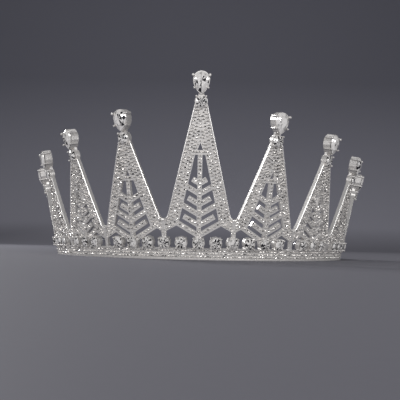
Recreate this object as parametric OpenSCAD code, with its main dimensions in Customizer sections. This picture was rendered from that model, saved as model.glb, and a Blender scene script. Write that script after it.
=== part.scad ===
// Rhinestone crown: an open-backed half crown of nine pierced peaks on a narrow band.
// It stands on the flat lower edge of the band at z = 0, with its front towards -Y.
// Heights on the wall are measured up its leaning outer face, from the lower edge of the band.
// Places along the band are counted in pitches, the spacing of the row of stones, from the middle.

/* [Band] */
// Radius of the front stretch, to the outer face at the lower edge
front_r = 58.5; // [52:0.1:64]
// Radius of the two side stretches
side_r = 84; // [75:0.5:110]
// Spacing of the stones in the row above the band
pitch = 6.25; // [6:0.05:6.6]
// How far the whole wall leans outwards, in degrees
lean = 12.4; // [5:0.1:20]
// Thickness of the wall, measured level
wall_t = 1.3; // [1.2:0.1:2]
// Height of the band
band_h = 4.3; // [4:0.1:5]
// Height of the polished rim along each edge of the band
rim_h = 0.5; // [0.3:0.05:0.7]
// How far the rims stand proud of the wall
rim_out = 0.4; // [0.2:0.05:0.6]
// Where the band ends on each side, in pitches
band_end = 19.2; // [18.6:0.1:19.6]

/* [Peaks] */
// Half width of a peak just under its round stone
peak_top_half = 2; // [1.6:0.1:2.3]
// Radius of the round bottom of the gap between two peaks
gap_r = 1.6; // [1.2:0.1:2]
// Depth of solid wall between such a gap and the openings above the row of stones
web_h = 4.8; // [4:0.1:5.2]
// Width of the solid side of a peak, beside its pierced leaves
side_band = 4.3; // [3.8:0.1:4.6]
// Width of a bar that joins the band to the wall between two peaks
bar_w = 1.6; // [1.2:0.1:2]

/* [Leaves] */
// Width of the stem up the middle of a peak
stem_w = 1.7; // [1.4:0.1:2]
// Width of a leaf
leaf_w = 1.95; // [1.6:0.05:2.1]
// Rise of the leaves, in degrees
leaf_rise = 30; // [25:1:35]
// Space round the tip of a leaf that ends free
leaf_tip_gap = 1.1; // [0.8:0.1:1.5]
// Height of the crossbar over the stem
crossbar_h = 1.7; // [1.2:0.1:2]
// Height of the small three-sided opening over the crossbar
eye_h = 2.7; // [2:0.1:3.2]
// Half width of that opening at its base
eye_half = 1; // [0.7:0.05:1.2]

/* [Stones] */
// Diameter of the round stones
round_d = 4; // [3.8:0.1:4.1]
// Width of the pear stones
pear_w = 5.4; // [5.2:0.1:5.5]
// Height of the row of round stones on the wall
row_h = 6.35; // [6.2:0.05:6.5]
// Height of a pear stone's middle over the round stone under it
pear_rise = 6.5; // [6.5:0.1:6.8]
// Clear space between a stone and its setting
stone_gap = 0.1; // [0.06:0.01:0.15]

/* [End wires] */
// Diameter of the wire
wire_d = 1.2; // [1:0.1:1.3]
// Radius of the loop at the free end, to the middle of the wire
loop_r = 3.5; // [3:0.1:3.6]
// Turns of the winding that holds the wire to the band
turns = 4; // [3:1:4]

/* [Hidden] */
// A row for each peak, from the middle outwards:
// height of its round stone, height where its lowest leaves cross the stem,
// number of leaf pairs, their spacing, height of the crossbar's lower edge
TIP = 0;
LEAF_BASE = 1;
LEAF_PAIRS = 2;
LEAF_STEP = 3;
STEM_TOP = 4;
peaks = [
    [57.9, 9.1, 6, 3.87, 38.8],
    [45.4, 6.7, 5, 3.78, 29.6],
    [41.0, 6.7, 5, 3.43, 26.2],
    [35.8, 6.6, 5, 3.05, 23.2],
    [31.6, 6.5, 4, 3.30, 20.6]
];
// Height of the bottom of the gap on the outer side of each peak; the last edge runs down to the band
gap_h = [15.3, 12.1, 10.9, 10.7, 5.2];
last_ceiling = 6.8;
peak_step = 4;
gap_step = 2;
front_pitches = 6;
arc_end = 17.85;
row_last = 17;
bar_places = [6, 10, 14];
seam_w = 1.2;
seam_proud = 0.06;

// The two side stretches meet the front stretch with a common tangent
front_y = -45.83;
front_turn = front_pitches * pitch / front_r * 180 / PI;
side_x = (front_r - side_r) * sin(front_turn);
side_y = front_y + front_r - (front_r - side_r) * cos(front_turn);
sin_lean = sin(lean);
cos_lean = cos(lean);
fine = 48;

// Turn of the wall at a place along it, in degrees from facing straight forward
function side_turn(j) = front_turn + (j - front_pitches) * pitch / side_r * 180 / PI;
function turn_right(j) =
    j <= front_pitches ? j * pitch / front_r * 180 / PI : side_turn(min(j, arc_end));
function turn(j) = j < 0 ? -turn_right(-j) : turn_right(j);
// Point of the outer lower edge of the band at a place along it
function edge_right(j) = j <= front_pitches
    ? [front_r * sin(turn_right(j)), front_y + front_r - front_r * cos(turn_right(j))]
    : [side_x + side_r * sin(turn_right(j)), side_y - side_r * cos(turn_right(j))]
      + max(0, j - arc_end) * pitch * [cos(turn_right(j)), sin(turn_right(j))];
function edge(j) = j < 0 ? [-edge_right(-j).x, edge_right(-j).y] : edge_right(j);
function wall_r(j) = abs(j) < front_pitches ? front_r : side_r;
// Level distance on a flat peak's own face from its middle to the middle of the next gap
function reach(j, h) =
    (wall_r(j) + h * sin_lean) * sin(gap_step * pitch / wall_r(j) * 180 / PI);

// The pear outline: a half circle over two flatter arcs that meet in a point
pear_r = pear_w / 2;
pear_drop = 1.8 * pear_r;
pear_flank_r = (pear_r * pear_r + pear_drop * pear_drop) / (2 * pear_r);
pear_flank_turn = asin(pear_drop / pear_flank_r);
pear_shift = (pear_drop - pear_r) / 2;
function pear_flank(a, grow) =
    [(pear_flank_r + grow) * cos(a) - pear_flank_r + pear_r, -(pear_flank_r + grow) * sin(a)];
function mirrored(p) = [-p.x, p.y];
function pear_outline(grow, n = 8) = [
    for (i = [0 : n - 1]) (pear_r + grow) * [cos(180 * i / n), sin(180 * i / n)],
    for (i = [0 : n / 2 - 1]) mirrored(pear_flank(pear_flank_turn * i / (n / 2), grow)),
    [0, -pear_drop - grow / sin(pear_flank_turn)],
    for (i = [n / 2 - 1 : -1 : 1]) pear_flank(pear_flank_turn * i / (n / 2), grow)
];
// Deepest and highest parts of the stones, from the girdle
round_deep = 0.43 * round_d;
round_crown = 0.16 * round_d;
pear_deep = 1.9;
pear_crown = 0.9;
// Height of each girdle over the face of the wall
round_seat = 0.9;
pear_seat = 1.9;
// Depth of the settings in the wall, and the height of the pear settings' floor inside them
cup_floor = -1.6;
pear_floor = -0.1;
claw_r = 0.36;
shoulder_claw_r = 0.5;

// Names of the nodes
function side_name(side) = side < 0 ? "left" : "right";
function place_name(stem, j) =
    j == 0 ? str(stem, "_middle") : str(stem, "_", side_name(j), "_", abs(j));
peak_numbers = [for (k = [-4 : 4]) k];
row_places = [for (j = [-row_last : row_last]) if (len(search(abs(j), bar_places)) == 0) j];

// Places its children on the outer face of the wall, with Z up the wall and -Y straight out of it
module on_wall(j, h = 0) {
    translate([edge(j).x, edge(j).y, 0])
        rotate([0, 0, turn(j)])
            rotate([lean, 0, 0])
                translate([0, 0, h])
                    children();
}

// Places its children with their +Z straight out of the wall and their Y up it
module facing_out(j, h) {
    on_wall(j, h) rotate([90, 0, 0]) children();
}

// Cuts an outline right through the wall, drawn on the wall's face
module through_wall(j) {
    on_wall(j) rotate([90, 0, 0]) translate([0, 0, -8]) linear_extrude(height = 12) children();
}

// Upright section of the wall, with the band's two rims at its foot, up to a height on its face
module wall_section(r, h, proud = 0) {
    slope = tan(lean);
    high = band_h * cos_lean;
    top = h * cos_lean;
    function out(z, more = 0) = [r + proud + more + z * slope, z];
    polygon([
        [r - wall_t - proud, 0],
        [r + rim_out + proud, 0],
        out(rim_h + proud, rim_out),
        out(rim_h + proud),
        out(high - rim_h - proud),
        out(high - rim_h - proud, rim_out),
        out(high + proud, rim_out),
        out(high + proud),
        out(top),
        [r - wall_t - proud + top * slope, top]
    ]);
}

// A straight length of the wall that starts at a place along it, a little proud of both faces
module straight_wall(j, before, length, h) {
    translate([edge(j).x, edge(j).y, 0])
        rotate([0, 0, turn(j) - 90])
            translate([0, length - before, 0])
                rotate([90, 0, 0])
                    linear_extrude(height = length)
                        wall_section(0, h, seam_proud);
}

// Turns a section about the front stretch's centre, between two places along the wall
module round_front(from, to) {
    translate([0, front_y + front_r, 0])
        rotate([0, 0, turn(from) - 90])
            rotate_extrude(angle = turn(to) - turn(from), $fn = 180)
                children();
}

// Turns a section about the right side stretch's centre
module round_side(from, to) {
    translate([side_x, side_y, 0])
        rotate([0, 0, side_turn(from) - 90])
            rotate_extrude(angle = side_turn(to) - side_turn(from), $fn = 180)
                children();
}

// The band and the uncut wall above it, as high as the highest peak.
// Soldered seams join the front stretch to the side stretches; the straight ends lap over the sides.
module solid_wall() {
    high = peaks[0][TIP];
    short = front_pitches - seam_w / 4 / pitch;
    round_front(-short, short) wall_section(front_r, high);
    for (side = [0, 1])
        mirror([side, 0, 0]) {
            straight_wall(front_pitches, seam_w / 2, seam_w, gap_h[1] + 4);
            round_side(front_pitches + seam_w / 4 / pitch, arc_end) wall_section(side_r, high);
            straight_wall(arc_end, seam_w, (band_end - arc_end) * pitch + seam_w, band_h + 0.3);
        }
}

// Slope of the edge of a peak that stands between a gap and the round stone
function edge_slope(k, gap) =
    (reach(peak_step * k, gap) - gap_r - peak_top_half) / (peaks[k][TIP] - gap);

// The open gap between two peaks, drawn on the wall at its middle
module peak_gap(k) {
    bottom = gap_h[k];
    place = peak_step * k + gap_step;
    left = reach(peak_step * k, peaks[k][TIP]) - peak_top_half;
    left_top = peaks[k][TIP];
    last = k == 4;
    right = last ? left : reach(peak_step * (k + 1), peaks[k + 1][TIP]) - peak_top_half;
    right_top = last ? left_top : peaks[k + 1][TIP];
    left_turn = atan(edge_slope(k, bottom));
    right_turn = last ? left_turn : atan(edge_slope(k + 1, bottom));
    over = 2.5 * peak_top_half;
    steps = 6;
    through_wall(place) polygon([
        [-left - over, 75],
        [-left - over, left_top],
        [-left, left_top],
        for (i = [0 : steps])
            let (a = 180 + left_turn + (180 - left_turn - right_turn) * i / steps)
                [gap_r * cos(a), bottom + gap_r + gap_r * sin(a)],
        [right, right_top],
        [right + over, right_top],
        [right + over, 75]
    ]);
}

// Half width of the pierced middle of a peak at a height, between its solid sides
function side_slope(k) = edge_slope(k, gap_h[max(k - 1, 0)]);
function outer_half(k, h) = peak_top_half + (peaks[k][TIP] - h) * side_slope(k);
function inner_half(k, h) = outer_half(k, h) - side_band / cos(atan(side_slope(k)));
// Where a leaf line that crosses the stem at a height meets the solid side
function leaf_reach(k, h) = inner_half(k, h) / (1 + side_slope(k) * tan(leaf_rise));

// One pair of leaves that rise from the stem
module leaf_pair(h, length) {
    for (side = [0, 1])
        mirror([side, 0])
            translate([0, h])
                rotate(leaf_rise)
                    translate([0, -leaf_w / 2])
                        square([length, leaf_w]);
}

// The openings round the stem and the leaves of one peak
module leaf_openings(k) {
    base = peaks[k][LEAF_BASE];
    top = peaks[k][STEM_TOP];
    foot = leaf_reach(k, base);
    difference() {
        polygon([
            [0, base],
            [foot, base + foot * tan(leaf_rise)],
            [inner_half(k, top), top],
            [-inner_half(k, top), top],
            [-foot, base + foot * tan(leaf_rise)]
        ]);
        translate([-stem_w / 2, 0]) square([stem_w, top + 1]);
        for (i = [0 : peaks[k][LEAF_PAIRS] - 1])
            let (h = base + i * peaks[k][LEAF_STEP])
                leaf_pair(h, i % 2 == 0 ? 20 : (leaf_reach(k, h) - leaf_tip_gap) / cos(leaf_rise));
    }
    translate([0, top + crossbar_h])
        polygon([[-eye_half, 0], [eye_half, 0], [0, eye_h]]);
}

// The opening under a peak, from its lowest leaves out to the bar on each side
module row_opening(k) {
    rise = tan(leaf_rise);
    foot = band_h - 0.1;
    base = peaks[k][LEAF_BASE] - leaf_w / 2 / cos(leaf_rise);
    bar = reach(peak_step * k, 8) - bar_w / 2;
    inner_ceiling = gap_h[max(k - 1, 0)] - web_h;
    outer_ceiling = k == 4 ? last_ceiling : gap_h[k] - web_h;
    inner_apex = ((inner_ceiling - base) / rise + bar) / 2;
    outer_apex = ((outer_ceiling - base) / rise + bar) / 2;
    polygon([
        [-bar, foot],
        [bar, foot],
        [bar, outer_ceiling],
        [outer_apex, base + outer_apex * rise],
        [0, base],
        [-inner_apex, base + inner_apex * rise],
        [-bar, inner_ceiling]
    ]);
}

// The wall with every gap and opening cut through it
module pierced_wall() {
    difference() {
        solid_wall();
        for (side = [0, 1])
            mirror([side, 0, 0]) {
                for (k = [0 : 4]) peak_gap(k);
                for (k = [1 : 4]) through_wall(peak_step * k) {
                    leaf_openings(k);
                    row_opening(k);
                }
            }
        through_wall(0) {
            leaf_openings(0);
            row_opening(0);
        }
    }
}

// A round claw that stands in the wall and reaches just over a stone's girdle
module claw(high, r = claw_r) {
    low = cup_floor / 2;
    translate([0, 0, low])
        rotate_extrude($fn = 24)
            polygon([
                [0, 0],
                [r, 0],
                [r, high - low - 0.25],
                [r * 0.6, high - low],
                [0, high - low]
            ]);
}

// A round cup that stands through the wall, with four claws
module round_setting() {
    translate([0, 0, cup_floor])
        cylinder(r = round_d / 2 + 0.3, h = round_seat - 0.3 - cup_floor, $fn = fine);
    for (a = [45 : 90 : 315])
        rotate(a) translate([round_d / 2 + stone_gap + claw_r, 0, 0]) claw(round_seat + 0.7);
}

// The cone-shaped seat that is cut into a round cup for its stone
module round_seat_cut() {
    steep = round_d / 2 / round_deep;
    tip = round_seat - round_deep - 2 * stone_gap;
    low = tip + 0.07;
    rotate_extrude($fn = fine)
        polygon([
            [0, low],
            [(low - tip) * steep, low],
            [(round_seat - tip) * steep, round_seat],
            [0, round_seat]
        ]);
}

// A cup with a flat floor for a pear stone, two stout claws that stand out at its shoulders,
// and the strip that ties it to the round setting below
module pear_setting() {
    translate([0, pear_shift, 0]) {
        difference() {
            translate([0, 0, cup_floor])
                linear_extrude(height = pear_seat - 0.3 - cup_floor)
                    polygon(pear_outline(0.3));
            translate([0, 0, pear_floor])
                linear_extrude(height = pear_seat)
                    polygon(pear_outline(-0.2));
        }
        for (a = [27, 153])
            rotate(a)
                translate([pear_r + stone_gap + shoulder_claw_r, 0, 0])
                    claw(pear_seat + 0.7, shoulder_claw_r);
        for (side = [0, 1])
            mirror([side, 0, 0])
                translate(pear_flank(28, stone_gap + claw_r + 0.03)) claw(pear_seat + 0.8);
    }
    translate([-1, -pear_rise, cup_floor + 0.2]) cube([2, pear_rise, 1.2]);
}

module frame() {
    color("gainsboro")
        difference() {
            union() {
                pierced_wall();
                for (j = row_places) facing_out(j, row_h) round_setting();
                for (k = peak_numbers) {
                    facing_out(peak_step * k, peaks[abs(k)][TIP]) round_setting();
                    facing_out(peak_step * k, peaks[abs(k)][TIP] + pear_rise) pear_setting();
                }
            }
            for (j = row_places) facing_out(j, row_h) round_seat_cut();
            for (k = peak_numbers) facing_out(peak_step * k, peaks[abs(k)][TIP]) round_seat_cut();
        }
}

// A cut stone from a ring of girdle points: flat table, crown facets, thin girdle and pointed back
module cut_stone(girdle, table_share, crown, deep, culet) {
    n = len(girdle);
    edge_t = 0.06;
    middle_share = (1 + table_share) / 2;
    points = concat(
        [for (i = [0 : 2 : n - 1]) [each table_share * girdle[i], crown]],
        [for (i = [1 : 2 : n - 1]) [each middle_share * girdle[i], 0.62 * crown]],
        [for (p = girdle) [p.x, p.y, edge_t]],
        [for (p = girdle) [p.x, p.y, -edge_t]],
        [[culet.x, culet.y, -deep]]
    );
    half = n / 2;
    faces = concat(
        [[for (i = [half - 1 : -1 : 0]) i]],
        [for (i = [0 : half - 1]) [i, (i + 1) % half, half + i]],
        [for (i = [0 : half - 1]) [half + i, (i + 1) % half, n + (2 * i + 2) % n]],
        [for (i = [0 : half - 1]) [i, half + i, n + 2 * i]],
        [for (i = [0 : half - 1]) [half + i, n + (2 * i + 1) % n, n + 2 * i]],
        [for (i = [0 : half - 1]) [half + i, n + (2 * i + 2) % n, n + (2 * i + 1) % n]],
        [for (i = [0 : n - 1]) [n + i, n + (i + 1) % n, 2 * n + i]],
        [for (i = [0 : n - 1]) [n + (i + 1) % n, 2 * n + (i + 1) % n, 2 * n + i]],
        [for (i = [0 : n - 1]) [2 * n + i, 2 * n + (i + 1) % n, 3 * n]]
    );
    color("azure") polyhedron(points, faces);
}

module round_stone(j, h) {
    girdle = [for (i = [0 : 15]) round_d / 2 * [cos(22.5 * i), sin(22.5 * i)]];
    facing_out(j, h)
        translate([0, 0, round_seat])
            cut_stone(girdle, 0.56, round_crown, round_deep, [0, 0]);
}

module pear_stone(k) {
    facing_out(peak_step * k, peaks[abs(k)][TIP] + pear_rise)
        translate([0, pear_shift, pear_seat])
            cut_stone(pear_outline(0), 0.56, pear_crown, pear_deep, [0, -0.4]);
}

// A round wire along a list of points, swept without twisting
function unit(v) = v / norm(v);
function along(path, i) = unit(path[min(i + 1, len(path) - 1)] - path[max(i - 1, 0)]);
function flat_to(v, t) = unit(v - (v * t) * t);
function sides_of(path, v, i = 0) =
    i == len(path) ? [] : let (s = flat_to(v, along(path, i))) concat([s], sides_of(path, s, i + 1));
module swept_wire(path, start_side, sides = 8) {
    n = len(path);
    across = sides_of(path, start_side);
    points = [
        for (i = [0 : n - 1])
            let (up = cross(along(path, i), across[i]))
                for (s = [0 : sides - 1])
                    let (a = 360 * s / sides)
                        path[i] + wire_d / 2 * (cos(a) * across[i] + sin(a) * up)
    ];
    faces = concat(
        [[for (s = [0 : sides - 1]) s]],
        [for (i = [0 : n - 2])
            for (s = [0 : sides - 1])
                let (a = i * sides + s, b = i * sides + (s + 1) % sides)
                    [a, a + sides, b + sides, b]],
        [[for (s = [sides - 1 : -1 : 0]) (n - 1) * sides + s]]
    );
    polyhedron(points, faces);
}

// The winding lies along the inside of the band, near its end
winding_place = 17.6;
winding_r = wire_d + 0.75;
winding_step = wire_d + 0.1;
winding_z = winding_r + wire_d / 2 + 0.1;
winding_in = wall_t - winding_z * tan(lean) + (winding_r + wire_d / 2 + 0.2) / cos_lean;
winding_half = turns * winding_step / 2;

// Places its children with +Y along the band and +X out of it, at the middle of the winding
module at_winding() {
    translate([edge(winding_place).x, edge(winding_place).y, winding_z])
        rotate([0, 0, turn(winding_place) - 90])
            translate([-winding_in, 0, 0])
                children();
}

module winding_right() {
    color("silver")
        at_winding()
            swept_wire(
                [for (i = [0 : 12 * turns])
                    let (a = 30 * i)
                        [winding_r * cos(a), winding_step * (a / 360 - turns / 2), winding_r * sin(a)]],
                [1, 0, 0]);
}

// The wire is doubled back inside the winding, runs to the back and ends in an upright loop
module end_wire_right() {
    half_space = wire_d / 2 + 0.05;
    far = winding_half + 1.2;
    neck = [-9.6, 28.4, 1.5];
    loop_way = unit([-0.75, 0.66, 0]);
    loop_mid = 4.4;
    leg_turn = asin(loop_r / loop_mid);
    color("silver")
        at_winding()
            swept_wire(
                concat(
                    [[half_space, far, 0], [half_space, 0, 0], [half_space, -far, 0]],
                    [for (a = [-45 : -45 : -135]) [half_space * cos(a), -far + half_space * sin(a), 0]],
                    [[-half_space, -far, 0], [-half_space, 0, 0], [-half_space, far, 0]],
                    [[-1.4, far + 2.2, 0.1], [-8.6, 26, 1.4], neck],
                    [for (a = [180 - 90 + leg_turn : -20 : -90 - leg_turn + 10])
                        neck + (loop_mid + loop_r * cos(a)) * loop_way + [0, 0, loop_r * sin(a)]],
                    [neck + 1.6 * (cos(leg_turn) * loop_way - [0, 0, sin(leg_turn)])]
                ),
                [1, 0, 0]);
}

module winding_left() { mirror([1, 0, 0]) winding_right(); }
module end_wire_left() { mirror([1, 0, 0]) end_wire_right(); }

frame();
for (k = peak_numbers) {
    pear_stone(k);
    round_stone(peak_step * k, peaks[abs(k)][TIP]);
}
for (j = row_places)
    round_stone(j, row_h);
end_wire_left();
end_wire_right();
winding_left();
winding_right();
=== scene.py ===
# Rhinestone crown: an open-backed half crown of nine pierced peaks on a narrow band,
# cast, plated and set with crystals. It rests on its band on a pale studio floor.
import math
import random

import bpy
from mathutils import Matrix, Vector


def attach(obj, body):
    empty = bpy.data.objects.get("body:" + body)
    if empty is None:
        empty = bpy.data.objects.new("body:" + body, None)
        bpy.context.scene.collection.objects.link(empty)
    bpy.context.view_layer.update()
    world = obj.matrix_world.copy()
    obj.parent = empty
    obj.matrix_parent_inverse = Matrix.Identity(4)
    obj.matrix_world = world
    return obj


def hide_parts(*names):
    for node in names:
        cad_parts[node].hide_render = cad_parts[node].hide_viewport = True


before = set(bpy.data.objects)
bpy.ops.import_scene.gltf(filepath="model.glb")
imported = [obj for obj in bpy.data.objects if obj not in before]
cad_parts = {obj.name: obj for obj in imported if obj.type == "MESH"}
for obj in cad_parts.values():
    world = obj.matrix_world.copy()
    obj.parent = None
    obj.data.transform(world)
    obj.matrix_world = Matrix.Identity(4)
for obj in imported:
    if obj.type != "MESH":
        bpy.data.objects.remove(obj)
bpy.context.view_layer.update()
bpy.ops.object.select_all(action="DESELECT")


# The frame is one casting: band, peaks, leaves, bars and every claw setting.
# It is zinc alloy, tumbled and plated with rhodium, so it is white metal with a satin skin that
# scatters part of the light, and a slight ripple where the mould was not quite smooth.
def colour(code):
    """An sRGB hex code as linear red, green, blue and opacity."""
    parts = [int(code[i:i + 2], 16) / 255 for i in (1, 3, 5)]
    return [c / 12.92 if c <= 0.04045 else ((c + 0.055) / 1.055) ** 2.4 for c in parts] + [1]


def add_node(tree, kind, inputs=(), stops=(), **settings):
    """Adds a node with its settings, links or sets its inputs, and sets a ramp's stops."""
    node = tree.nodes.new(kind)
    for name, value in settings.items():
        setattr(node, name, value)
    for socket, value in dict(inputs).items():
        if isinstance(value, bpy.types.NodeSocket):
            tree.links.new(value, node.inputs[socket])
        else:
            node.inputs[socket].default_value = value
    for n, (at, code) in enumerate(stops):
        ramp = node.color_ramp.elements
        stop = ramp[n] if n < 2 else ramp.new(at)
        stop.position, stop.color = at, colour(code)
    return node


def new_material(name):
    material = bpy.data.materials.new(name)
    material.use_nodes = True
    return material, material.node_tree, material.node_tree.nodes["Principled BSDF"]


def give(piece, material):
    piece.data.materials.clear()
    piece.data.materials.append(material)


plated_casting, tree, shader = new_material("rhodium_plated_casting")
where = add_node(tree, "ShaderNodeTexCoord").outputs["Object"]
# The length in mm of the waves left by tumbling, and of the fine skin's grains, 33 to 10 mm
wave_l, skin_l = 2, 10 / 33
waves = add_node(tree, "ShaderNodeTexNoise", {
    "Vector": where, "Scale": 1000 / wave_l, "Detail": 1})
skin = add_node(tree, "ShaderNodeTexNoise", {
    "Vector": where, "Scale": 1000 / skin_l, "Detail": 2})
tint = add_node(tree, "ShaderNodeMix", {
    "Factor": waves.outputs["Fac"], "A": colour("#c8c6c5"), "B": colour("#dedad6")},
    data_type="RGBA")
rough = add_node(tree, "ShaderNodeMapRange", {
    "Value": skin.outputs["Fac"], "To Min": 0.26, "To Max": 0.46})
wave_bump = add_node(tree, "ShaderNodeBump", {
    "Height": waves.outputs["Fac"], "Distance": 0.00012, "Strength": 0.35})
skin_bump = add_node(tree, "ShaderNodeBump", {
    "Height": skin.outputs["Fac"], "Distance": 0.00003, "Strength": 0.25,
    "Normal": wave_bump.outputs["Normal"]})
tree.links.new(tint.outputs["Result"], shader.inputs["Base Color"])
tree.links.new(rough.outputs["Result"], shader.inputs["Roughness"])
tree.links.new(skin_bump.outputs["Normal"], shader.inputs["Normal"])
shader.inputs["Metallic"].default_value = 0.5
give(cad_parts["frame"], plated_casting)


# A polished rim runs up each edge of every peak and round the bottom of each gap.
# It was cast with the frame and buffed, so it is the smoothest and brightest metal of the crown.

# The sizes are those of the CAD model, in mm. Heights are up the wall's leaning face, and places
# are counted along the band in stone pitches from its middle
front_r, side_r, pitch, front_y = 58.5, 84, 6.25, -45.83
front_end, arc_end, band_h = 6, 17.85, 4.3
peak_step, gap_step = 4, 2
lean = math.radians(12.4)
# The five peaks from the middle outwards, and the gaps on their outer sides
tips = [57.9, 45.4, 41, 35.8, 31.6]
gap_bottoms = [15.3, 12.1, 10.9, 10.7, 5.2]
last_peak = len(tips) - 1
tip_half, gap_r = 2, 1.6
front_turn = front_end * pitch / front_r
side_x = (front_r - side_r) * math.sin(front_turn)
side_y = front_y + front_r - (front_r - side_r) * math.cos(front_turn)


def radius(place):
    """The band bends tightly in front and more gently at the sides."""
    return front_r if abs(place) < front_end else side_r


def turn(place):
    """How far the band has turned away from straight ahead."""
    p = abs(place)
    if p <= front_end:
        right = p * pitch / front_r
    else:
        right = front_turn + (min(p, arc_end) - front_end) * pitch / side_r
    return math.copysign(right, place)


def foot(place):
    """The foot of the wall's outer face. Past the end of its arc the band runs straight."""
    p = abs(place)
    a = turn(p)
    if p <= front_end:
        x, y = front_r * math.sin(a), front_y + front_r - front_r * math.cos(a)
    else:
        more = max(0, p - arc_end) * pitch
        x = side_x + side_r * math.sin(a) + more * math.cos(a)
        y = side_y - side_r * math.cos(a) + more * math.sin(a)
    return Vector((math.copysign(x, place), y, 0))


def wall_axes(place):
    """Along the wall, up its face, and straight out of it."""
    a = turn(place)
    along = Vector((math.cos(a), math.sin(a), 0))
    out = Vector((math.sin(a), -math.cos(a), 0))
    up = out * math.sin(lean) + Vector((0, 0, math.cos(lean)))
    return along, up, out * math.cos(lean) - Vector((0, 0, math.sin(lean)))


def wall_point(place, x, h):
    """The point of the wall's outer face that lies at x and h on a drawing held against it."""
    along, up, out = wall_axes(place)
    # The wall is part of a cone, so on both sides it falls away behind the drawing
    a = radius(place) + h * math.sin(lean)
    p, q = 1 - math.tan(lean) ** 2, 2 * a / math.cos(lean)
    deep = (-q + math.sqrt(q * q - 4 * p * x * x)) / (2 * p)
    return foot(place) + along * x + up * h + out * deep


def reach(place, h):
    """Half the width of a drawing, from the middle of a peak to the middle of the next gap."""
    r = radius(place)
    return (r + h * math.sin(lean)) * math.sin(gap_step * pitch / r)


def edge_slope(peak, gap_h):
    """How much wider a peak's half gets for each mm down from its tip."""
    return (reach(peak_step * peak, gap_h) - gap_r - tip_half) / (tips[peak] - gap_h)


def edge_path(gap, side, inset, step):
    """Points from the middle of a gap's bottom up one of its edges, drawn at the gap, at a
    distance inside the metal."""
    peak = gap if side < 0 else gap + 1
    bottom = gap_bottoms[gap]
    lift = math.atan(edge_slope(peak, bottom))
    top = (reach(peak_step * peak, tips[peak]) - tip_half, tips[peak])
    r = gap_r + inset
    centre = bottom + gap_r
    start = (gap_r * math.cos(lift), centre - gap_r * math.sin(lift))
    way = Vector((top[0] - start[0], top[1] - start[1])).normalized()
    start = Vector((r * math.cos(lift), centre - r * math.sin(lift)))
    bend = (math.pi / 2 - lift) * r
    run = (tips[peak] - start.y) / way.y
    points = []
    for n in range(math.ceil((bend + run) / step)):
        s = n * step
        if s < bend:
            points.append((side * r * math.sin(s / r), centre - r * math.cos(s / r)))
        else:
            p = start + way * (s - bend)
            points.append((side * p.x, p.y))
    return points


def mirrored(points, half):
    """The same points on the right half for 1, on the left half for -1."""
    return [Vector((half * p.x, p.y, p.z)) for p in points]


def tube(name, paths, thick, sides):
    """A round wire along each path, made a mesh."""
    curve = bpy.data.curves.new(name, "CURVE")
    curve.dimensions = "3D"
    curve.bevel_depth = thick / 2000
    curve.bevel_resolution = sides
    curve.use_fill_caps = True
    for path in paths:
        spline = curve.splines.new("POLY")
        spline.points.add(len(path) - 1)
        for point, p in zip(spline.points, path):
            point.co = (*(p / 1000), 1)
    piece = bpy.data.objects.new(name, curve)
    bpy.context.scene.collection.objects.link(piece)
    bpy.ops.object.select_all(action="DESELECT")
    piece.select_set(True)
    bpy.context.view_layer.objects.active = piece
    bpy.ops.object.convert(target="MESH")
    piece = bpy.context.view_layer.objects.active
    bpy.ops.object.shade_smooth_by_angle(angle=math.radians(50))
    return piece


def finish(piece, material):
    """Gives a new piece its material and slot, and fixes it to the crown."""
    give(piece, material)
    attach(piece, "root")


polished_rim, tree, shader = new_material("buffed_rhodium_plate")
where = add_node(tree, "ShaderNodeTexCoord").outputs["Object"]
# Buffing leaves the rim a little uneven every 4 mm or so
ripple_l = 4
ripple = add_node(tree, "ShaderNodeTexNoise", {
    "Vector": where, "Scale": 1000 / ripple_l, "Detail": 1})
rough = add_node(tree, "ShaderNodeMapRange", {
    "Value": ripple.outputs["Fac"], "To Min": 0.16, "To Max": 0.28})
tree.links.new(rough.outputs["Result"], shader.inputs["Roughness"])
shader.inputs["Base Color"].default_value = colour("#f5f2ef")
shader.inputs["Metallic"].default_value = 0.65

rim_w, rim_step, rim_stop = 0.7, 1, 1.8
rim_paths = []
for gap in range(len(gap_bottoms)):
    next_peak = min(gap + 1, last_peak)
    left = edge_path(gap, -1, rim_w / 2, rim_step)
    right = edge_path(gap, 1, rim_w / 2, rim_step) if gap < last_peak else []
    # The rims stop short of the cups on the tips
    outline = [(x, h) for x, h in left[::-1] + right[1:]
               if h < tips[gap if x < 0 else next_peak] - rim_stop]
    rim = [wall_point(peak_step * gap + gap_step, x, h) for x, h in outline]
    rim_paths += [mirrored(rim, -1), mirrored(rim, 1)]
finish(tube("polished_rims", rim_paths, rim_w, 2), polished_rim)


# Small crystals cover the band and the peaks. Each is a foiled glass chaton about 1.2 mm across,
# pressed into the casting and held by beads of metal that were pushed over its edge. Some of the
# pits between them are painted dark as painted shade.

# The pierced field of each peak, from the middle outwards: its stem and its rising leaves
leaf_bases = [9.1, 6.7, 6.7, 6.6, 6.5]
leaf_pairs = [6, 5, 5, 5, 4]
leaf_steps = [3.87, 3.78, 3.43, 3.05, 3.3]
stem_tops = [38.8, 29.6, 26.2, 23.2, 20.6]
stem_w, leaf_w, leaf_rise, leaf_tip_gap = 1.7, 1.95, math.radians(30), 1.1
# Every second pair of leaves runs right across to the wall
through_leaf = 20
crossbar_h, eye_h, eye_half, side_band = 1.7, 2.7, 1, 4.3
web_h, last_ceiling, bar_w, bar_top = 4.8, 6.8, 1.6, 8
row_h, cup_r = 6.35, 2.35
# The row of large stones leaves out the places of the bars
row_last, bar_places = 17, (6, 10, 14)
row_places = [j for j in range(-row_last, row_last + 1) if abs(j) not in bar_places]
slant = math.tan(leaf_rise)


def inner_half(peak, h):
    """Half the width of a peak's pierced field."""
    slope = edge_slope(peak, gap_bottoms[max(peak - 1, 0)])
    return tip_half + (tips[peak] - h) * slope - side_band * math.hypot(1, slope)


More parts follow.
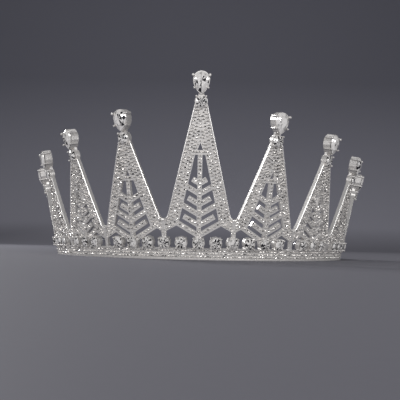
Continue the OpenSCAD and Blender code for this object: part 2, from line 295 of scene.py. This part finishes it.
def leaf_length(peak, n):
    """How far a leaf runs up its own slope from the middle of the stem."""
    if n % 2 == 0:
        return through_leaf
    h = leaf_bases[peak] + n * leaf_steps[peak]
    slope = edge_slope(peak, gap_bottoms[max(peak - 1, 0)])
    return (inner_half(peak, h) / (1 + slope * slant) - leaf_tip_gap) / math.cos(leaf_rise)


def on_metal(peak, x, h):
    """Whether a point drawn on a peak of the right half lies on metal. Its outer side has
    positive x."""
    gap = gap_bottoms[peak if x > 0 or peak == 0 else peak - 1]
    a = abs(x)
    far = reach(peak_step * peak, max(h, 1))
    if h > tips[peak] or h < band_h or a > far + 0.01:
        return False
    if a > tip_half + (tips[peak] - h) * edge_slope(peak, gap):
        if a < far - gap_r or h > gap + gap_r - math.sqrt(max(0, gap_r ** 2 - (far - a) ** 2)):
            return False
    base, top = leaf_bases[peak], stem_tops[peak]
    if base + a * slant < h < top and stem_w / 2 < a < inner_half(peak, h):
        for n in range(leaf_pairs[peak]):
            rise = h - base - n * leaf_steps[peak]
            along = a * math.cos(leaf_rise) + rise * math.sin(leaf_rise)
            across = rise * math.cos(leaf_rise) - a * math.sin(leaf_rise)
            if abs(across) < leaf_w / 2 and along < leaf_length(peak, n):
                return True
        return False
    over = h - top - crossbar_h
    if 0 < over < eye_h and a < eye_half * (1 - over / eye_h):
        return False
    bar = reach(peak_step * peak, bar_top) - bar_w / 2
    if a < bar:
        ceiling = last_ceiling if peak == last_peak and x > 0 else gap - web_h
        low = base - leaf_w / 2 / math.cos(leaf_rise)
        if h < min(low + a * slant, ceiling + (bar - a) * slant):
            return False
    return True


small_girdle, small_crown, small_step = 1.2, 0.34, 1.27
# A stone needs metal under nine tenths of its width, and may stand a tenth closer than its step
seat_share, close_share = 0.9, 0.9
# Stones are found again by the 2 mm cube in which they stand, and one within on_line of the
# crown's middle line counts as on it
cube, on_line = 2, 0.01
set_stones = []
cells = {}


def cell(point):
    return tuple(int(c // cube) for c in point)


def crowded(point, size):
    """Whether a stone of this size would touch one that already stands."""
    gap = close_share * small_step * (1 + size) / 2
    i, j, k = cell(point)
    for dx in (-1, 0, 1):
        for dy in (-1, 0, 1):
            for dz in (-1, 0, 1):
                for other, other_size in cells.get((i + dx, j + dy, k + dz), ()):
                    if (point - other).length < gap * (1 + other_size) / 2:
                        return True
    return False


def try_stone(peak, place, x, h, angle, size=1.0):
    """Sets a stone on the right half at a drawing place, if it fits on metal, clear of the cups
    of the large stones and beside the others."""
    point = wall_point(place, x, h)
    # The middle peak's right half is mirrored, so a stone of it stands on the line or clear of it
    if peak == 0 and on_line < point.x < small_step / 2:
        return
    along, up, _ = wall_axes(peak_step * peak)
    seen = point - foot(peak_step * peak)
    px, ph = seen.dot(along), seen.dot(up)
    # Twelve points round the stone have to lie on metal
    r = seat_share * small_girdle / 2 * size
    for i in range(12):
        a = i * math.pi / 6
        if not on_metal(peak, px + r * math.cos(a), ph + r * math.sin(a)):
            return
    if math.hypot(px, ph - tips[peak]) < cup_r + r:
        return
    for j in row_places:
        if (point - wall_point(j, 0, row_h)).length < cup_r + r:
            return
    if crowded(point, size):
        return
    cells.setdefault(cell(point), []).append((point, size))
    cx, cy = (0, front_y + front_r) if radius(place) == front_r else (side_x, side_y)
    facing = math.atan2(point.y - cy, point.x - cx) + math.pi / 2
    set_stones.append((peak, point, facing, angle, size))


# Three rows along the rims, from the middle of each gap up both of its edges, each stone a
# little out of line and out of turn
row_insets, out_of_line, out_of_turn = (1.25, 2.48, 3.71), 0.12, 0.4
uneven = random.Random(3)
for inset in row_insets:
    for gap in range(len(gap_bottoms)):
        for side in (-1, 1) if gap < last_peak else (-1,):
            path = edge_path(gap, side, inset, small_step)
            for n, (x, h) in enumerate(path):
                ahead = path[min(n + 1, len(path) - 1)]
                behind = path[max(n - 1, 0)]
                angle = math.atan2(ahead[1] - behind[1], ahead[0] - behind[0])
                angle += uneven.uniform(-out_of_turn, out_of_turn)
                x += uneven.uniform(-out_of_line, out_of_line)
                h += uneven.uniform(-out_of_line, out_of_line)
                peak = gap if side < 0 else gap + 1
                try_stone(peak, peak_step * gap + gap_step, x, h, angle)

leaf_start, leaf_most, point_start, bar_start = 1.45, 14, 2.9, 5
fill_step, fill_reach, fill_sizes = 0.31, 14, (1.0, 0.86, 0.72)
for peak in range(len(tips)):
    place, top, base = peak_step * peak, stem_tops[peak], leaf_bases[peak]
    # The middle peak is filled on its right half, and mirrored below
    sides = (1,) if peak == 0 else (-1, 1)
    # The stem's row, then each leaf's row from the stem outwards, then the crossbar's
    h = top + crossbar_h / 2
    while h > base - 1:
        try_stone(peak, place, 0, h, math.pi / 2)
        h -= small_step
    for n in range(leaf_pairs[peak]):
        for side in sides:
            for i in range(leaf_most):
                s = leaf_start + small_step * i
                x, h = side * s * math.cos(leaf_rise), s * math.sin(leaf_rise)
                try_stone(peak, place, x, base + n * leaf_steps[peak] + h, side * leaf_rise)
    for side in sides:
        for i in range(1, 6):
            try_stone(peak, place, side * small_step * i, top + crossbar_h / 2, 0)
    # The solid point over the crossbar
    h = tips[peak] - point_start
    while h > top:
        for column in range(0 if peak == 0 else -2, 3):
            try_stone(peak, place, small_step * column, h, 0)
        h -= small_step
    # Bars between band and wall
    for i in range(4):
        for side in sides:
            try_stone(peak, place + gap_step * side, 0, bar_start + small_step * i, 0)
    # Whatever is still bare takes slightly smaller stones
    for size in fill_sizes:
        h = tips[peak]
        while h > band_h:
            x = 0 if peak == 0 else -fill_reach
            while x < fill_reach:
                if on_metal(peak, x, h):
                    try_stone(peak, place, x, h, 0, size)
                x += fill_step
            h -= fill_step

places = []
for peak, point, facing, angle, size in set_stones:
    for half in (1, -1) if point.x > on_line else (1,):
        spot = Vector((half * point.x, point.y, point.z))
        places.append((peak * half, spot, facing * half, angle * half, size))
# The band's three rows of slightly smaller stones, the middle one half a step on
band_rows, band_reach, band_step, band_size = (1.05, 2.15, 3.25), 19.02, 1.2, 0.92
for row, h in enumerate(band_rows):
    count = 2 * round(band_reach * pitch / band_step) - row % 2
    for i in range(count + 1):
        place = band_reach * (2 * i / count - 1)
        places.append(("band", wall_point(place, 0, h), turn(place), 0, band_size))

# Each stone is tipped a little to any side
wobble, tipped = random.Random(7), 0.2


def placed_points(name, chosen):
    """A mesh of bare points, each with the turn, size and painted-light seed of the stone that
    stands on it.
    """
    mesh = bpy.data.meshes.new(name)
    mesh.from_pydata([p[1] / 1000 for p in chosen], [], [])
    turns = mesh.attributes.new("turned", "FLOAT_VECTOR", "POINT")
    sizes = mesh.attributes.new("size", "FLOAT", "POINT")
    painted_light_seeds = mesh.attributes.new("painted_light_seed", "FLOAT", "POINT")
    for i, (_, point, facing, angle, size) in enumerate(chosen):
        stand = Matrix.Rotation(facing, 4, "Z") @ Matrix.Rotation(lean + math.pi / 2, 4, "X")
        tip = [Matrix.Rotation(wobble.uniform(-tipped, tipped), 4, axis) for axis in "XY"]
        stand = stand @ Matrix.Rotation(angle, 4, "Z") @ (tip[0] @ tip[1])
        turns.data[i].vector = stand.to_euler()
        sizes.data[i].value = size
        painted_light_seeds.data[i].value = wobble.random()
    piece = bpy.data.objects.new(name, mesh)
    bpy.context.scene.collection.objects.link(piece)
    return piece


def set_on_points(name, chosen, master):
    """Copies a shape onto every point and joins the copies into one mesh."""
    piece = placed_points(name, chosen)
    group = bpy.data.node_groups.new(name, "GeometryNodeTree")
    for way in ("INPUT", "OUTPUT"):
        group.interface.new_socket("Geometry", in_out=way, socket_type="NodeSocketGeometry")
    points = add_node(group, "NodeGroupInput")
    shape = add_node(group, "GeometryNodeObjectInfo", {"Object": master})
    turned = add_node(group, "GeometryNodeInputNamedAttribute", {"Name": "turned"},
                      data_type="FLOAT_VECTOR")
    size = add_node(group, "GeometryNodeInputNamedAttribute", {"Name": "size"},
                    data_type="FLOAT")
    copies = add_node(group, "GeometryNodeInstanceOnPoints", {
        "Points": points.outputs[0], "Instance": shape.outputs["Geometry"],
        "Rotation": turned.outputs["Attribute"], "Scale": size.outputs["Attribute"]})
    joined = add_node(group, "GeometryNodeRealizeInstances", {
        "Geometry": copies.outputs["Instances"]})
    add_node(group, "NodeGroupOutput", {0: joined.outputs["Geometry"]})
    modifier = piece.modifiers.new("set", "NODES")
    modifier.node_group = group
    bpy.ops.object.select_all(action="DESELECT")
    piece.select_set(True)
    bpy.context.view_layer.objects.active = piece
    bpy.ops.object.modifier_apply(modifier=modifier.name)
    return piece


# The crystal: a low collar, eight sides at its edge, a table turned half a step, and
# three-sided facets between them. The table's radius is 0.31 of the girdle's width. The heights
# and widths given here for the collar, the beads and the pits are in metres.
small_table, collar_h = 0.31, 0.0002
bpy.ops.mesh.primitive_cone_add(
    vertices=8, radius1=small_girdle / 2000, radius2=small_table * small_girdle / 1000,
    depth=small_crown / 1000, location=(0, 0, small_crown / 2000))
chaton = bpy.context.active_object
bpy.ops.object.transform_apply(location=True, rotation=False, scale=False)
for v in chaton.data.vertices:
    if v.co.z > small_crown / 2000:
        a = math.atan2(v.co.y, v.co.x) + math.pi / 8
        r = v.co.xy.length
        v.co.xy = (r * math.cos(a), r * math.sin(a))
bpy.ops.object.mode_set(mode="EDIT")
bpy.ops.mesh.select_all(action="SELECT")
bpy.ops.mesh.quads_convert_to_tris(quad_method="SHORTEST_DIAGONAL", ngon_method="CLIP")
bpy.ops.mesh.select_all(action="DESELECT")
bpy.ops.object.mode_set(mode="OBJECT")
for face in chaton.data.polygons:
    face.select = face.center.z < 0.00001
bpy.ops.object.mode_set(mode="EDIT")
bpy.ops.mesh.select_mode(type="FACE")
bpy.ops.mesh.extrude_region_move(TRANSFORM_OT_translate={"value": (0, 0, -collar_h)})
bpy.ops.object.mode_set(mode="OBJECT")
for v in chaton.data.vertices:
    v.co.z += collar_h
facets = chaton.data.attributes.new("facet", "FLOAT", "FACE")
# The faces are taken by their place, because Blender doesn't number them alike in every run
for face in sorted(chaton.data.polygons, key=lambda f: [round(c, 6) for c in f.center.zyx]):
    facets.data[face.index].value = wobble.random()

foiled_glass, tree, shader = new_material("foiled_crystal_glass")
where = add_node(tree, "ShaderNodeTexCoord").outputs["Object"]
facet = add_node(tree, "ShaderNodeAttribute", attribute_name="facet").outputs["Fac"]
painted_light_seed = add_node(tree, "ShaderNodeAttribute", attribute_name="painted_light_seed").outputs["Fac"]
both = add_node(tree, "ShaderNodeMath", {0: facet, 1: painted_light_seed}, operation="ADD")
mixed = add_node(tree, "ShaderNodeMath", {0: both.outputs[0]}, operation="FRACT")
# The foil behind shows through the crown as smaller mirrors about 0.6 mm across, each turned its
# own way. Mirrors and facets are painted bright or dark, as painted reflections and glints
mirror_w = 0.625
mirrors = add_node(tree, "ShaderNodeTexVoronoi", {"Vector": where, "Scale": 1000 / mirror_w})
grey = add_node(tree, "ShaderNodeSeparateColor", {"Color": mirrors.outputs["Color"]})
lit = add_node(tree, "ShaderNodeMath", {0: mixed.outputs[0], 1: 0.45}, operation="MULTIPLY")
total = add_node(tree, "ShaderNodeMath", {
    0: grey.outputs[0], 1: 0.55, 2: lit.outputs[0]}, operation="MULTIPLY_ADD")
tint = add_node(tree, "ShaderNodeValToRGB", {"Fac": total.outputs[0]}, stops=(
    (0.27, "#2e2e33"), (0.5, "#f7f2ed")))
tree.links.new(tint.outputs["Color"], shader.inputs["Base Color"])
normal = add_node(tree, "ShaderNodeNewGeometry").outputs["Normal"]
half_grey, mirror_turn = (0.5, 0.5, 0.5), (0.9, 0.9, 0.9)
shift = add_node(tree, "ShaderNodeVectorMath", {
    0: mirrors.outputs["Color"], 1: half_grey}, operation="SUBTRACT")
leaned = add_node(tree, "ShaderNodeVectorMath", {
    0: shift.outputs[0], 1: mirror_turn, 2: normal}, operation="MULTIPLY_ADD")
unit = add_node(tree, "ShaderNodeVectorMath", {0: leaned.outputs[0]}, operation="NORMALIZE")
tree.links.new(unit.outputs[0], shader.inputs["Normal"])
shader.inputs["Metallic"].default_value = 0.35
shader.inputs["Roughness"].default_value = 0.1
give(chaton, foiled_glass)

# Two beads beside each crystal; its neighbours bring the others
bead_r, bead_out = 0.0002, 0.00068
bpy.ops.object.select_all(action="DESELECT")
beads = []
for a in (math.radians(45), math.radians(135)):
    bpy.ops.mesh.primitive_ico_sphere_add(
        subdivisions=1, radius=bead_r,
        location=(bead_out * math.cos(a), bead_out * math.sin(a), bead_r))
    beads.append(bpy.context.active_object)
for bead in beads:
    bead.select_set(True)
bpy.context.view_layer.objects.active = beads[0]
bpy.ops.object.join()
two_beads = bpy.context.active_object
bpy.ops.object.transform_apply(location=True, rotation=True, scale=True)
bpy.ops.object.shade_smooth()
give(two_beads, polished_rim)

# The pit round each crystal is a thin sheet of dull metal, and about one in four is painted dark
# as painted shade between the stones
pit_r, pit_h = 0.00066, 0.00004
painted_shade_pit, tree, shader = new_material("pits_with_painted_shade")
painted_light_seed = add_node(tree, "ShaderNodeAttribute", attribute_name="painted_light_seed").outputs["Fac"]
tint = add_node(tree, "ShaderNodeValToRGB", {"Fac": painted_light_seed}, stops=(
    (0.24, "#303035"), (0.34, "#a6a4a3")))
tree.links.new(tint.outputs["Color"], shader.inputs["Base Color"])
shader.inputs["Metallic"].default_value = 0.6
shader.inputs["Roughness"].default_value = 0.45
bpy.ops.object.select_all(action="DESELECT")
bpy.ops.mesh.primitive_cylinder_add(vertices=6, radius=pit_r, depth=pit_h,
                                    location=(0, 0, pit_h / 2), end_fill_type="NGON")
pit = bpy.context.active_object
bpy.ops.object.transform_apply(location=True, rotation=True, scale=True)
give(pit, painted_shade_pit)

names = {0: "middle_peak"}
for peak in range(1, len(tips)):
    names[peak] = "peak_right_%d" % peak
    names[-peak] = "peak_left_%d" % peak
names["band"] = "band"
for key, name in names.items():
    chosen = [p for p in places if p[0] == key]
    finish(set_on_points("crystals_" + name, chosen, chaton), foiled_glass)
    finish(set_on_points("beads_" + name, chosen, two_beads), polished_rim)
    finish(set_on_points("pits_" + name, chosen, pit), painted_shade_pit)
for master in (chaton, two_beads, pit):
    bpy.data.objects.remove(master)


# The large stones stand in open cups: a pear crystal over a round one on every peak, and a row
# of round ones above the band. They are machine-cut glass with silver foil on the pointed back.
# The star of bright and dark blades that the foil sends out is painted on the facets as painted
# reflection, each facet with its own.
cut_glass, tree, shader = new_material("machine_cut_crystal")
blade = add_node(tree, "ShaderNodeAttribute", attribute_name="blade").outputs["Fac"]
tint = add_node(tree, "ShaderNodeValToRGB", {"Fac": blade}, stops=(
    (0.1, "#1d1d22"), (0.45, "#f8f5f2")))
tree.links.new(tint.outputs["Color"], shader.inputs["Base Color"])
shader.inputs["Metallic"].default_value = 0.3
shader.inputs["Roughness"].default_value = 0.05
shader.inputs["Coat Weight"].default_value = 1
shader.inputs["Coat Roughness"].default_value = 0
shader.inputs["Coat IOR"].default_value = 1.56

round_r, pear_r, seat_round, seat_pear = 2, 2.7, 0.9, 1.9
pear_point, pear_rise = 0.4, 6.5
# The pear's flanks are arcs from the ends of its half circle to its tip
pear_drop = 1.8 * pear_r
flank_r = (pear_r ** 2 + pear_drop ** 2) / (2 * pear_r)
flank_turn = math.asin(pear_drop / flank_r)


def arc(r, steps):
    """Points of a girdle's round part, one for each sixteenth of a turn."""
    return [Vector((r * math.cos(i * math.pi / 8), r * math.sin(i * math.pi / 8)))
            for i in range(steps)]


flank = [flank_turn * i / 4 for i in range(4)]
right_flank = [Vector((flank_r * math.cos(a) - flank_r + pear_r, -flank_r * math.sin(a)))
               for a in flank]
left_flank = [Vector((-p.x, p.y)) for p in right_flank]
pear_girdle = arc(pear_r, 8) + left_flank + [Vector((0, -pear_drop))] + right_flank[:0:-1]


# Each ring's share of the girdle's width, and how far up the crown or down the back it lies
table_w, kite_w, heart_w, main_w = 0.56, 0.8, 0.45, 0.5
kite_up, main_down, girdle_half = 0.56, 0.62, 0.05


def cut_stone(name, girdle, culet, crown, deep):
    """A brilliant: table, stars, kites and halves over a thin girdle, mains and lower halves
    under it. The table is split into the wedges on which the blades of painted reflection are
    painted."""
    def ring(share, corners):
        return [culet + (p - culet) * share for p in corners]

    def level(corners, z):
        return [(*p, z) for p in corners]

    table = ring(table_w, girdle[::2])
    edges = [(table[i] + table[(i + 1) % 8]) / 2 for i in range(8)]
    rim = [p for pair in zip(table, edges) for p in pair]
    points = level(table, crown) + level(ring(kite_w, girdle[1::2]), kite_up * crown)
    points += level(girdle, girdle_half) + level(girdle, -girdle_half)
    points += level(ring(main_w, girdle[::2]), -main_down * deep) + level([culet], -deep)
    points += level(edges, crown) + level(ring(heart_w, rim), crown) + level([culet], crown)
    # Where each ring starts in the list of points; the table's corners start it
    kite, upper, under, main, point, edge, inner, heart = 8, 16, 32, 48, 56, 57, 65, 81
    around = [a for i in range(8) for a in (i, edge + i)]
    faces = []
    for i in range(16):
        n = (i + 1) % 16
        faces += [(around[i], around[n], inner + n, inner + i), (inner + i, inner + n, heart)]
    for i in range(8):
        n, a, b, c = (i + 1) % 8, 2 * i, 2 * i + 1, (2 * i + 2) % 16
        faces += [(i, kite + i, n, edge + i), (i, upper + a, kite + i), (kite + i, upper + c, n),
                  (upper + a, upper + b, kite + i), (upper + b, upper + c, kite + i)]
    for i in range(16):
        n = (i + 1) % 16
        faces.append((upper + i, under + i, under + n, upper + n))
    for i in range(8):
        n, a, b, c = (i + 1) % 8, 2 * i, 2 * i + 1, (2 * i + 2) % 16
        faces += [(under + a, main + i, under + b), (under + b, main + n, under + c),
                  (under + b, main + i, main + n), (main + i, point, main + n)]
    mesh = bpy.data.meshes.new(name)
    mesh.from_pydata([Vector(p) / 1000 for p in points], [], faces)
    mesh.materials.append(cut_glass)
    stone = bpy.data.objects.new(name, mesh)
    bpy.context.scene.collection.objects.link(stone)
    bpy.ops.object.select_all(action="DESELECT")
    stone.select_set(True)
    bpy.context.view_layer.objects.active = stone
    bpy.ops.object.mode_set(mode="EDIT")
    bpy.ops.mesh.select_all(action="SELECT")
    bpy.ops.mesh.normals_make_consistent(inside=False)
    bpy.ops.object.mode_set(mode="OBJECT")
    return stone


round_master = cut_stone("round_crystal", arc(round_r, 16), Vector((0, 0)),
                         crown=0.64, deep=0.55)
pear_master = cut_stone("pear_crystal", pear_girdle, Vector((0, -pear_point)),
                        crown=0.9, deep=0.7)


def set_large(master, node, place, h):
    """Sets a copy of a stone in its cup, with its own star of blades painted on as painted
    reflection, in place of the CAD's.
    """
    pear = master is pear_master
    stone = master.copy()
    stone.data = master.data.copy()
    stone.name = "cut_" + node
    bpy.context.scene.collection.objects.link(stone)
    blades = stone.data.attributes.new("blade", "FLOAT", "FACE")
    # A blade of painted reflection is a wedge of one sixteenth, whole under the table and broken
    # towards the edge. Most of every second one is painted dark on a round stone, and about half
    # as many on a pear
    share = 0.5 if pear else 0.85
    dark = [i for i in range(wobble.choice((0, 1)), 16, 2) if wobble.random() < share]
    for face in stone.data.polygons:
        x, y, _ = face.center * 1000
        wedge = int(8 * math.atan2(y + (pear_point if pear else 0), x) / math.pi) % 16
        on_table = face.normal.z > 0.99
        shut = wedge in dark and wobble.random() < (0.95 if on_table else 0.6)
        glow = 0.1 * wobble.random() if shut else wobble.uniform(0.26, 0.8)
        blades.data[face.index].value = glow
    _, up, out = wall_axes(place)
    seat = foot(place) + up * h + out * (seat_pear if pear else seat_round)
    stone.data.transform(Matrix.Translation(seat / 1000) @
                         Matrix.Rotation(turn(place), 4, "Z") @
                         Matrix.Rotation(lean + math.pi / 2, 4, "X"))
    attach(stone, "root")
    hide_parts(node)


def node_name(stem, n):
    return stem + ("_middle" if n == 0 else "_%s_%d" % ("left" if n < 0 else "right", abs(n)))


for j in row_places:
    set_large(round_master, node_name("row_stone", j), j, row_h)
for peak in range(-last_peak, last_peak + 1):
    high = tips[abs(peak)]
    pear_h = high + pear_rise + (pear_drop - pear_r) / 2
    set_large(round_master, node_name("tip_stone", peak), peak_step * peak, high)
    set_large(pear_master, node_name("pear_stone", peak), peak_step * peak, pear_h)
for master in (round_master, pear_master):
    bpy.data.objects.remove(master)


# A steel wire is doubled back at each end of the band, bound to its inside by a winding of the
# same wire, and runs to the back, where it ends in an upright loop for a grip or a ribbon.
wire_d, loop_r, turns, winding_place, wall_t = 1.2, 3.5, 4, 17.6, 1.3
winding_r, winding_step = wire_d + 0.75, wire_d + 0.1
winding_z = winding_r + wire_d / 2 + 0.1
winding_in = (wall_t - winding_z * math.tan(lean)
              + (winding_r + wire_d / 2 + 0.2) / math.cos(lean))

bright_wire, tree, shader = new_material("drawn_steel_wire")
where = add_node(tree, "ShaderNodeTexCoord").outputs["Object"]
# Drawing leaves fine marks; they are 0.25 mm apart here so that they show
mark_w = 0.25
marks = add_node(tree, "ShaderNodeTexNoise", {
    "Vector": where, "Scale": 1000 / mark_w, "Detail": 1})
rough = add_node(tree, "ShaderNodeMapRange", {
    "Value": marks.outputs["Fac"], "To Min": 0.08, "To Max": 0.2})
tree.links.new(rough.outputs["Result"], shader.inputs["Roughness"])
shader.inputs["Base Color"].default_value = colour("#dadadd")
shader.inputs["Metallic"].default_value = 1

seat = (Matrix.Translation(Vector((*foot(winding_place).xy, winding_z)))
        @ Matrix.Rotation(turn(winding_place) - math.pi / 2, 4, "Z")
        @ Matrix.Translation((-winding_in, 0, 0)))
winding_path = []
for i in range(24 * turns + 1):
    a = math.radians(15 * i)
    winding_path.append((winding_r * math.cos(a), winding_step * (i / 24 - turns / 2),
                         winding_r * math.sin(a)))

# The doubled wire lies side by side in the winding, leaves it on the inner side and ends in the
# loop, whose neck and direction show in the photograph
half_space = wire_d / 2 + 0.05
far = turns * winding_step / 2 + 1.2
leaves, arrives = Vector((-1.4, far + 2.2, 0.1)), Vector((-8.6, 26, 1.4))
neck = Vector((-9.6, 28.4, 1.5))
loop_way = Vector((-0.75, 0.66, 0)).normalized()
loop_mid, stub = 4.4, 1.6
leg = math.asin(loop_r / loop_mid)
wire_path = [(half_space, far, 0), (half_space, 0, 0)]
for i in range(13):
    a = math.radians(-15 * i)
    wire_path.append((half_space * math.cos(a), -far + half_space * math.sin(a), 0))
wire_path += [(-half_space, 0, 0), (-half_space, far, 0), (-1.05, far + 1.2, 0.05), leaves]
wire_path += [leaves.lerp(arrives, t / 6) for t in range(1, 7)]
wire_path.append(neck)
# The loop's last point stops half a step short of the stub that closes it
top, end, loop_points = math.pi / 2 + leg, -math.pi / 2 - leg, 28
for i in range(loop_points):
    a = top + (end - top) * i / (loop_points - 0.5)
    rise = Vector((0, 0, loop_r * math.sin(a)))
    wire_path.append(neck + loop_way * (loop_mid + loop_r * math.cos(a)) + rise)
wire_path.append(neck + stub * (math.cos(leg) * loop_way - Vector((0, 0, math.sin(leg)))))
for half, name in ((1, "right"), (-1, "left")):
    for part, path in (("end_wire", wire_path), ("winding", winding_path)):
        points = mirrored([seat @ Vector(p) for p in path], half)
        piece = tube("drawn_%s_%s" % (part, name), [points], wire_d, 4)
        finish(piece, bright_wire)
        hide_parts("%s_%s" % (part, name))


# The crown stands on a sheet of pale card that curves up behind it. Painted light makes it paler
# at the bend and darker towards its top, and its grain is about 1 mm coarse.
card, tree, shader = new_material("pale_matt_card")
where = add_node(tree, "ShaderNodeTexCoord").outputs["Object"]
# Nine grains to 10 mm
grain_w = 10 / 9
grain = add_node(tree, "ShaderNodeTexNoise", {
    "Vector": where, "Scale": 1000 / grain_w, "Detail": 3})
height = add_node(tree, "ShaderNodeSeparateXYZ", {"Vector": where}).outputs["Z"]
# The tints of the painted light, each at its height in metres
painted_light_ramp = add_node(tree, "ShaderNodeValToRGB", {"Fac": height}, stops=(
    (0, "#7b7a83"), (0.05, "#a5a4af"), (0.55, "#757580")))
grain_share = add_node(tree, "ShaderNodeMath", {0: grain.outputs["Fac"], 1: 0.12},
                       operation="MULTIPLY")
tone = add_node(tree, "ShaderNodeMix", {
    "Factor": grain_share.outputs[0], "A": painted_light_ramp.outputs["Color"], "B": colour("#8c8b95")},
    data_type="RGBA")
tree.links.new(tone.outputs["Result"], shader.inputs["Base Color"])
shader.inputs["Roughness"].default_value = 0.75

# Metres from here on
card_w, card_l, card_h, card_y, bend_r = 7, 3.6, 2.6, -0.1, 1.0
bpy.ops.object.select_all(action="DESELECT")
bpy.ops.mesh.primitive_plane_add(size=1, location=(0, 0, 0))
sweep = bpy.context.active_object
sweep.name = "card_sweep"
sweep.scale = (card_w, card_l, 1)
sweep.location = (0, card_y, 0)
bpy.ops.object.transform_apply(location=True, rotation=True, scale=True)
bpy.ops.object.mode_set(mode="EDIT")
bpy.ops.mesh.select_all(action="DESELECT")
bpy.ops.object.mode_set(mode="OBJECT")
back = max(v.co.y for v in sweep.data.vertices)
for v in sweep.data.vertices:
    v.select = v.co.y > back - 0.01
for e in sweep.data.edges:
    e.select = all(sweep.data.vertices[i].select for i in e.vertices)
bpy.ops.object.mode_set(mode="EDIT")
bpy.ops.mesh.select_mode(type="EDGE")
bpy.ops.mesh.extrude_region_move(TRANSFORM_OT_translate={"value": (0, 0.02, card_h)})
bpy.ops.object.mode_set(mode="OBJECT")
bend = sweep.modifiers.new("curve", "BEVEL")
bend.width, bend.segments = bend_r, 48
bend.limit_method, bend.angle_limit = "ANGLE", math.radians(40)
bpy.ops.object.modifier_apply(modifier=bend.name)
bpy.ops.object.shade_smooth()
give(sweep, card)


# One small soft box at the back left throws the shadow, and a wide one hangs over the card behind
# the crown. Two weak ones stand at the sides, and a long one in front gives the metal something
# to mirror. Two small ones make the crystals sparkle.
def softbox(name, place, aim, size, bright):
    lamp = bpy.data.lights.new(name, "AREA")
    lamp.shape, lamp.size, lamp.size_y = "RECTANGLE", size[0], size[1]
    lamp.energy = bright * math.pi * size[0] * size[1]
    stand = bpy.data.objects.new(name, lamp)
    stand.location = place
    stand.rotation_euler = (Vector(place) - Vector(aim)).to_track_quat("Z", "Y").to_euler()
    bpy.context.scene.collection.objects.link(stand)


crown_middle = (0, 0, 0.03)
softbox("key_back_left", (-0.6, 0.42, 0.42), (0.1, -0.2, 0.03), (0.15, 0.15), 50)
softbox("top", (0, 0.55, 1.25), (0, 0.6, 0), (0.7, 0.5), 1.5)
softbox("left", (-0.9, -0.3, 0.15), crown_middle, (0.5, 0.2), 3)
softbox("right", (0.9, -0.35, 0.15), crown_middle, (0.5, 0.2), 4)
softbox("front", (-0.1, -1.5, 0.29), crown_middle, (2.6, 0.3), 8.8)
softbox("spark_left", (-0.45, -0.8, 0.75), crown_middle, (0.07, 0.07), 20)
softbox("spark_right", (0.6, -0.75, 0.25), crown_middle, (0.07, 0.07), 50)

# The room beyond the lights is dim
world = bpy.data.worlds.new("studio_room")
world.use_nodes = True
bpy.context.scene.world = world
background = world.node_tree.nodes["Background"]
background.inputs["Color"].default_value = colour("#a9abb2")
background.inputs["Strength"].default_value = 0.17

# The camera stands close to the floor in front of the crown, a little right of its middle and
# turned a little about its own axis, as in the photograph
target = Vector((0, 0.0004, 0.0264))
distance, rise = 0.2593, math.radians(-4.6)
aside, roll = math.radians(0.28), math.radians(1.22)
camera_data = bpy.data.cameras.new("camera")
camera_data.sensor_width, camera_data.lens = 36, 51.4
camera_data.clip_start = 0.01
camera_data.shift_y = -0.003
camera = bpy.data.objects.new("camera", camera_data)
way = Vector((math.sin(aside) * math.cos(rise), -math.cos(rise), math.sin(rise)))
camera.location = target + way * distance
facing = way.to_track_quat("Z", "Y").to_matrix()
camera.rotation_euler = (facing @ Matrix.Rotation(roll, 3, "Z")).to_euler()
bpy.context.scene.collection.objects.link(camera)
bpy.context.scene.camera = camera
bpy.context.scene.view_settings.view_transform = "Standard"

bpy.context.view_layer.update()
